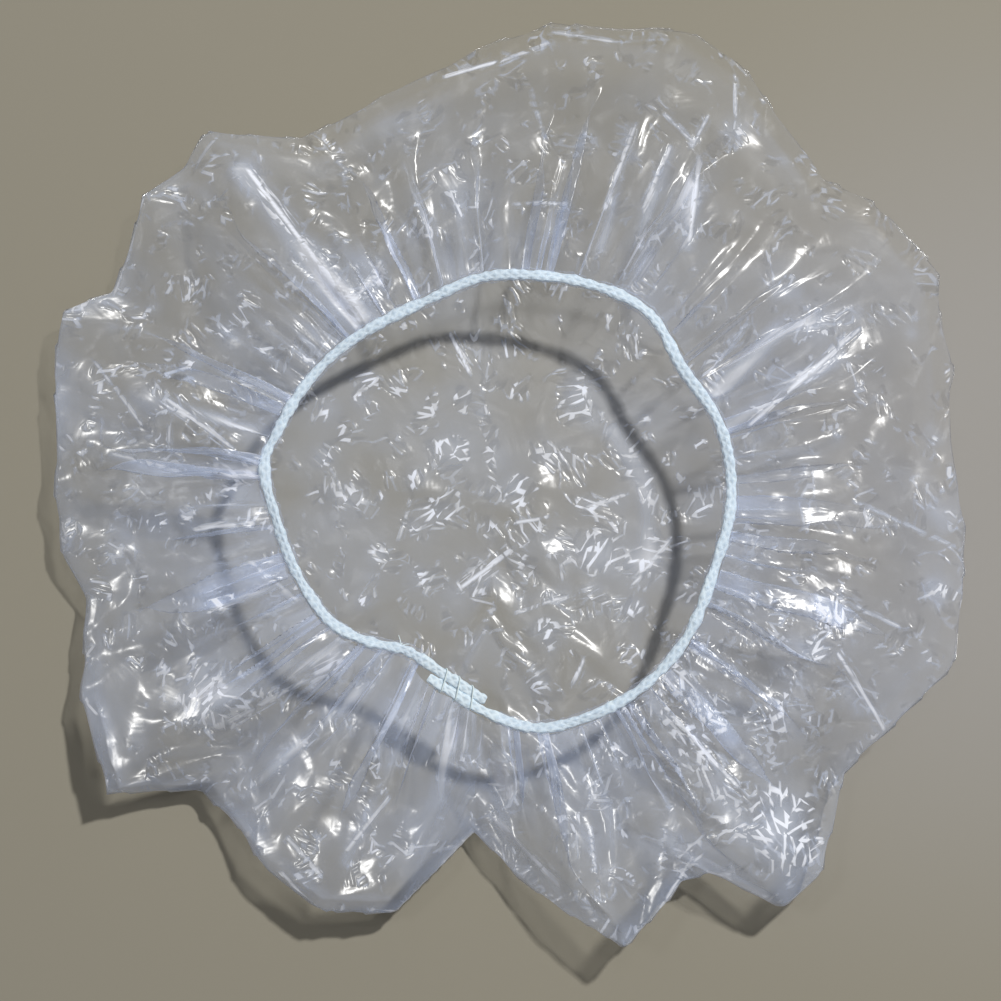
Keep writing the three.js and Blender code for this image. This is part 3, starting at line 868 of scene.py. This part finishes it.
def makeTuft():
    outward, along, up, middle = rimAxes(tuft["angle"])
    start = middle - outward * elastic["width"] / 2
    size, turns = tuft["wave"]
    curves = []
    for at, length in enumerate(tuft["lengths"]):
        lean = (at - (len(tuft["lengths"]) - 1) / 2) * tuft["spread"]
        points = []
        for way in np.linspace(0, 1, tuft["points"]):
            aside = lean * way + size * math.sin(turns * way + at)
            rise = tuft["rise"] * way - tuft["droop"] * way * way
            level = tuft["reach"] * (along * aside - outward * way)
            points.append(start + length * (level + up * rise))
        curves.append(makeThread("tuft", points, False, tuft["radius"]))
    return toMesh("threadTuft", *curves)


# Materials: lengths are in metres, and counts are per metre, unless they say otherwise
filmLook = {
    "shine": 0.038,  # share reflected head-on, at both faces of the film
    "grazing": 5,  # power with which the share grows towards grazing angles
    "roughness": 0.25,
    "haze": 0.072,
    "hazeRange": (0.25, 0.6),  # haze at which its colour is that of thin and of thick film
    "thinHaze": (0.56, 0.65, 0.85, 1),
    "thickHaze": (0.86, 0.9, 1, 1),
    "cloudiness": 24,
    "cloudRange": (0.3, 0.7),
    "cloudHaze": (0.8, 0.6),  # what the clouds add to the haze, and its share without them
    "steepest": 0.3,  # head-on share of a slanting face beyond which its haze grows no more
    "patches": 105,  # each has wrinkles of one direction
    "radialFrom": (0, 0.5),  # how gathered the film is where the wrinkles turn to point at the hem
    "radialSpread": 0.9,  # radians
    "wrinkles": (440, 125),  # across and along their direction
    "wrinkleHeight": 0.0009,
    "wrinkledEverywhere": 0.12,  # share of that height outside the clusters
    "clusters": 105,
    "clusterGrowth": 0.07,  # with how finely wrinkled the film is
    "clusterRange": (0.55, 0.65),
    "valleyRange": (0.46, 0.36),
    "valleyShade": 0.15,  # painted shade: how much darker the floor looks through each valley between wrinkles
    "ridges": (320, 130),  # in the same way, for the network of sharp ridges
    "ridgeWidth": 0.17,  # as a share of the network's cells
    "ridgeCrest": 0.4,  # share of that width
    "ridgeHeight": 0.00017,
    "ridgeRange": (0.4, 0.54),  # of the wrinkles, where the ridges start and are full
    "ridgeWhiteAndGlint": (0.55, 0.2),  # whiteness of the ridge crest lines, partly stress-whitening and partly painted highlight: spread from patch to patch, least
    "workedWhiteAndGlint": (0.45, -0.4),  # the least too, where the film is more finely wrinkled
    "whiteAndGlintShare": 0.7,  # how white the sharpest wrinkles are: stress-whitening, and painted highlight standing in for glints
    "creaseLines": (900, 90),  # across and along the straight creases
    "creaseRange": (0.5, 0.68),
    "creaseWidth": 0.0011,
    "creaseHeight": 0.0005,
    "creaseBreaks": (0.35, 0.6),  # of the wrinkles, where a crease is broken and where it is whole
    "creaseHeld": 0.15,  # how much less a strong one breaks
    "pleats": (46, 30),  # per radian round the sheet, and outwards
    "pleatHeight": 0.0012,
    "streakRange": (0.44, 0.62),
    "streaked": 0.8,  # how much hazier the gathers' streaks are
    "shadow": 0.06,  # share of a lamp's light that one layer holds back
}
coverLook = {
    "colour": (0.75, 0.87, 0.96, 1),
    # shade: painted shade, the colour of the grooves between the yarns
    "shade": (0.6, 0.74, 0.86, 1),
    "pitch": 0.0075,  # of the braid, along the elastic
    "rounds": 2,  # of the braid, round it
    "lean": 0.785,  # of the yarns, either way, in radians
    "unevenness": 3,
    "depth": 0.0002,
    "relief": 0.9,
    "roughness": 0.75,
    "sheen": 0.3,
}
rubber = {
    "nodes": ("rubber_strand_inner", "rubber_strand_outer"),
    "colour": (0.68, 0.6, 0.38, 1),
    "roughness": 0.6,
}


def addAttribute(tree, name, output="Fac"):
    return addNode(tree, "Attribute", attribute_name=name).outputs[output]


def addNoise(tree, place, **values):
    # a smooth random value from 0 to 1
    return addNode(tree, "TexNoise", noise_dimensions="2D", Vector=place, **values).outputs["Fac"]


def addCells(tree, place, **values):
    return addNode(tree, "TexVoronoi", voronoi_dimensions="2D", Vector=place, **values).outputs


def addScaled(tree, place, x, y):
    return addNode(tree, "Mapping", Vector=place, Scale=(x, y, 1)).outputs["Vector"]


def addPlace(tree, x, y, scale):
    x, y = addProduct(tree, x, scale[0]), addProduct(tree, y, scale[1])
    return addNode(tree, "CombineXYZ", X=x, Y=y).outputs[0]


def addMixed(tree, share, first, second):
    # shader nodes mixed, from the first to the second
    mixed = addNode(tree, "MixShader", Fac=share)
    feed(tree, mixed.inputs[1], first.outputs[0])
    feed(tree, mixed.inputs[2], second.outputs[0])
    return mixed


def addPolar(tree, place):
    # distance from the middle of the sheet, and direction
    x, y, _ = addNode(tree, "SeparateXYZ", Vector=place).outputs
    radius = addNode(tree, "VectorMath", operation="LENGTH", Vector=place)
    return radius.outputs["Value"], addMath(tree, "ARCTAN2", y, x)


def addPatches(tree, place, gathered):
    # the place, turned and moved at random in each patch, and a random value for each patch; where
    # the film is gathered, the patches turn to point at the hem
    patches = addCells(tree, place, Scale=filmLook["patches"])
    red, green, blue = addNode(tree, "SeparateColor", Color=patches["Color"]).outputs
    middle = addNode(tree, "VectorMath", operation="SUBTRACT", Vector=patches["Position"])
    feed(tree, middle.inputs[1], (film["otherLayer"], film["otherLayer"], 0))
    patchTurn = addPolar(tree, middle.outputs["Vector"])[1]
    spread = filmLook["radialSpread"]
    radial = addProduct(tree, red, spread, (math.pi - spread) / 2)
    drawnOut = addRange(tree, gathered, *filmLook["radialFrom"])
    drawnOut = addMath(tree, "GREATER_THAN", drawnOut, green)
    direction = addNode(tree, "Mix", data_type="FLOAT", Factor=drawnOut)
    feed(tree, direction.inputs[2], addProduct(tree, red, 2 * math.pi))
    feed(tree, direction.inputs[3], addMath(tree, "ADD", patchTurn, radial))
    angle = addProduct(tree, direction.outputs[0], -1)
    turned = addNode(tree, "VectorRotate", rotation_type="Z_AXIS", Vector=place, Angle=angle)
    moved = addNode(tree, "VectorMath", operation="ADD", Vector=turned.outputs["Vector"])
    feed(tree, moved.inputs[1], patches["Color"])
    return moved.outputs["Vector"], blue


def addRidges(tree, moved, wrinkles, crowded, worked, patch):
    # the network of sharp ridges: its height as a share, and how white its crest lines are, partly
    # stress-whitening and partly painted highlight
    place = addScaled(tree, moved, *filmLook["ridges"])
    fromRidge = addCells(tree, place, feature="DISTANCE_TO_EDGE", Scale=1)["Distance"]
    width = filmLook["ridgeWidth"]
    kept = addProduct(tree, addRange(tree, wrinkles, *filmLook["ridgeRange"]), crowded)
    ridge = addProduct(tree, fromRidge, -1 / width, 1, clamped=True)
    ridge = addProduct(tree, ridge, kept)
    # white crest lines: partly stress-whitening and partly painted highlight standing in for glints
    white = addProduct(tree, addMath(tree, "POWER", patch, 2), *filmLook["ridgeWhiteAndGlint"])
    workedWhiteAndGlint = addProduct(tree, worked, *filmLook["workedWhiteAndGlint"], clamped=True)
    crestWhiteAndGlint = addRange(tree, fromRidge, width, filmLook["ridgeCrest"] * width)
    crestWhiteAndGlint = addProduct(tree, crestWhiteAndGlint, addMath(tree, "MAXIMUM", white, workedWhiteAndGlint))
    return ridge, addProduct(tree, crestWhiteAndGlint, kept)


def addCreases(tree, wrinkles):
    # the straight creases' height as a share: a line along the middle, and finer ones beside it
    creased = addAttribute(tree, "creased", "Vector")
    across, along, strength = addNode(tree, "SeparateXYZ", Vector=creased).outputs
    lines = addNoise(tree, addPlace(tree, across, along, filmLook["creaseLines"]), Scale=1, Detail=1)
    crest = addRange(tree, addMath(tree, "ABSOLUTE", across), filmLook["creaseWidth"], 0)
    crest = addMath(tree, "MAXIMUM", crest, addRange(tree, lines, *filmLook["creaseRange"]))
    crest = addProduct(tree, crest, strength)
    unbroken = addProduct(tree, strength, filmLook["creaseHeld"], wrinkles)
    return addProduct(tree, crest, addRange(tree, unbroken, *filmLook["creaseBreaks"]))


def addWrinkles(tree, wholeFilm):
    # height in metres of the film's fine wrinkles and creases, their white crest lines (partly painted
    # highlight) and dark valley mask (painted shade), the gathers' streaks, and the sheet coordinates
    sheet = addNode(tree, "UVMap", uv_map="sheet").outputs["UV"]
    place = addAttribute(tree, "asItLies", "Vector") if wholeFilm else sheet
    gathered = addAttribute(tree, "gathered")
    worked = addAttribute(tree, "worked")
    moved, patch = addPatches(tree, place, gathered)
    stretched = addScaled(tree, moved, *filmLook["wrinkles"])
    wrinkles = addNoise(tree, stretched, Scale=1, Detail=1, Roughness=0.4)
    clusters = addNoise(tree, place, Scale=filmLook["clusters"], Detail=1)
    crowded = addProduct(tree, worked, filmLook["clusterGrowth"], clusters)
    crowded = addRange(tree, crowded, *filmLook["clusterRange"])
    least = filmLook["wrinkledEverywhere"] * filmLook["wrinkleHeight"]
    lifted = addProduct(tree, crowded, filmLook["wrinkleHeight"] - least, least)
    height = addProduct(tree, addMath(tree, "SUBTRACT", wrinkles, 0.5), lifted)
    # painted shade: the floor looks darker through each valley between crowded wrinkles
    valleysShadeMask = addProduct(tree, addRange(tree, wrinkles, *filmLook["valleyRange"]), crowded)
    ridge, crestWhiteAndGlint = addRidges(tree, moved, wrinkles, crowded, worked, patch)
    height = addProduct(tree, ridge, filmLook["ridgeHeight"], height)
    crease = addCreases(tree, wrinkles)
    height = addProduct(tree, crease, filmLook["creaseHeight"], height)
    # crease lines whiten too: partly stress-whitening and partly painted highlight
    crestWhiteAndGlint = addMath(tree, "MAXIMUM", crestWhiteAndGlint, crease)

    radius, outward = addPolar(tree, sheet)
    pleats = addNoise(tree, addPlace(tree, outward, radius, filmLook["pleats"]), Scale=1, Detail=1)
    drawn = addProduct(tree, addMath(tree, "SUBTRACT", pleats, 0.5), gathered)
    height = addProduct(tree, drawn, filmLook["pleatHeight"], height)
    streaks = addProduct(tree, addRange(tree, pleats, *filmLook["streakRange"]), gathered)
    return height, crestWhiteAndGlint, valleysShadeMask, streaks, sheet


def makeFilmMaterial(name, haze, wholeFilm):
    material, tree, output = newMaterial(name)
    height, crestWhiteAndGlint, valleysShadeMask, streaks, sheet = addWrinkles(tree, wholeFilm)
    bump = addNode(tree, "Bump", Height=height, Strength=1, Distance=1).outputs["Normal"]
    slant = addNode(tree, "LayerWeight", Blend=0.5).outputs["Facing"]
    grazing = addMath(tree, "POWER", slant, filmLook["grazing"])
    shining = addProduct(tree, grazing, 1 - filmLook["shine"], filmLook["shine"], clamped=True)
    # painted shade: the clear part lets less through where the valley mask is
    clarity = addProduct(tree, valleysShadeMask, -filmLook["valleyShade"], 1)
    clear = addNode(tree, "BsdfTransparent", Color=clarity)
    gloss = addNode(
        tree, "BsdfAnisotropic", Color=(1, 1, 1, 1), Roughness=filmLook["roughness"], Normal=bump
    )
    sheer = addMixed(tree, shining, clear, gloss)

    clouds = addNoise(tree, sheet, Scale=filmLook["cloudiness"], Detail=2)
    clouded = addRange(tree, clouds, *filmLook["cloudRange"])
    clouded = addProduct(tree, clouded, *filmLook["cloudHaze"])
    clouded = addProduct(tree, streaks, filmLook["streaked"], clouded)
    amount = addProduct(tree, clouded, haze)
    if wholeFilm:
        amount = addProduct(tree, amount, addAttribute(tree, "hazy"))
    towards = addMath(tree, "MAXIMUM", addMath(tree, "SUBTRACT", 1, slant), filmLook["steepest"])
    amount = addMath(tree, "DIVIDE", amount, towards)
    # painted highlight in part: the white crest lines add to the haze, so they stay white under any lamp
    amount = addProduct(tree, crestWhiteAndGlint, filmLook["whiteAndGlintShare"], amount, clamped=True)
    thickness = addRange(tree, amount, *filmLook["hazeRange"])
    tint = addTint(tree, thickness, filmLook["thinHaze"], filmLook["thickHaze"])
    whole = addMixed(tree, amount, sheer, addNode(tree, "BsdfDiffuse", Color=tint))

    held = addMath(tree, "DIVIDE", filmLook["shadow"], towards)
    if wholeFilm:
        held = addProduct(tree, held, addAttribute(tree, "dense"))
    lit = addNode(tree, "BsdfTransparent", Color=addMath(tree, "SUBTRACT", 1, held, clamped=True))
    shadowRay = addNode(tree, "LightPath").outputs["Is Shadow Ray"]
    every = addMixed(tree, shadowRay, whole, lit)
    tree.links.new(every.outputs[0], output.inputs["Surface"])
    return material


def makeCoverMaterial():
    # braided yarn, from the sheet coordinates of the piece, with painted shade in the grooves between
    # the yarns
    material, tree, output = newMaterial("wovenCover")
    sheet = addNode(tree, "UVMap", uv_map="sheet").outputs["UV"]
    stretched = addScaled(tree, sheet, 1 / coverLook["pitch"], coverLook["rounds"])
    yarns = []
    for turn in (coverLook["lean"], -coverLook["lean"]):
        way = addNode(tree, "Mapping", Vector=stretched, Rotation=(0, 0, turn)).outputs["Vector"]
        wave = addNode(tree, "TexWave", Vector=way, Scale=1, Distortion=coverLook["unevenness"])
        yarns.append(wave.outputs["Fac"])
    braid = addMath(tree, "MAXIMUM", *yarns)
    bump = addNode(
        tree, "Bump", Height=braid, Strength=coverLook["relief"], Distance=coverLook["depth"]
    )
    # the braid's grooves take the painted shade colour, and its yarns the plain colour
    shader = addNode(tree, "BsdfPrincipled", **{
        "Base Color": addTint(tree, braid, coverLook["shade"], coverLook["colour"]),
        "Roughness": coverLook["roughness"],
        "Sheen Weight": coverLook["sheen"],
        "Normal": bump.outputs["Normal"],
    })
    tree.links.new(shader.outputs["BSDF"], output.inputs["Surface"])
    return material


def makePlainMaterial(name, look):
    material, tree, output = newMaterial(name)
    look = {"Base Color": look["colour"], "Roughness": look["roughness"]}
    shader = addNode(tree, "BsdfPrincipled", **look)
    tree.links.new(shader.outputs["BSDF"], output.inputs["Surface"])
    return material


def wear(piece, material):
    piece.data.materials.clear()
    piece.data.materials.append(material)


filmCap = makeFilmCap()
print("film:", len(filmCap.data.polygons), "faces")
wear(filmCap, makeFilmMaterial("clearFilm", filmLook["haze"], True))
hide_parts("film_cap")

hemCasing = makeHemCasing()
wear(hemCasing, makeFilmMaterial("gatheredFilm", hem["haze"], False))
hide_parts("hem_sleeve")
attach(hemCasing, "rim")

elasticCover = makeElasticCover()
wear(elasticCover, makeCoverMaterial())
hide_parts("elastic_cover")
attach(elasticCover, "rim")

threadMaterial = makePlainMaterial("thread", thread)
for at in range(thread["stitches"]):
    stitch = makeStitch(at)
    wear(stitch, threadMaterial)
    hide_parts(f"tack_stitch_{at + 1}")
    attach(stitch, "rim")
threadTuft = makeTuft()
wear(threadTuft, threadMaterial)
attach(threadTuft, "rim")
print("elastic, hem and thread")

rubberMaterial = makePlainMaterial("naturalRubber", rubber)
for name in rubber["nodes"]:
    wear(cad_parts[name], rubberMaterial)

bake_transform(filmCap)

scene = bpy.context.scene
scene.view_settings.view_transform = "Standard"
scene.cycles.transparent_max_bounces = 32
scene.cycles.max_bounces = 12
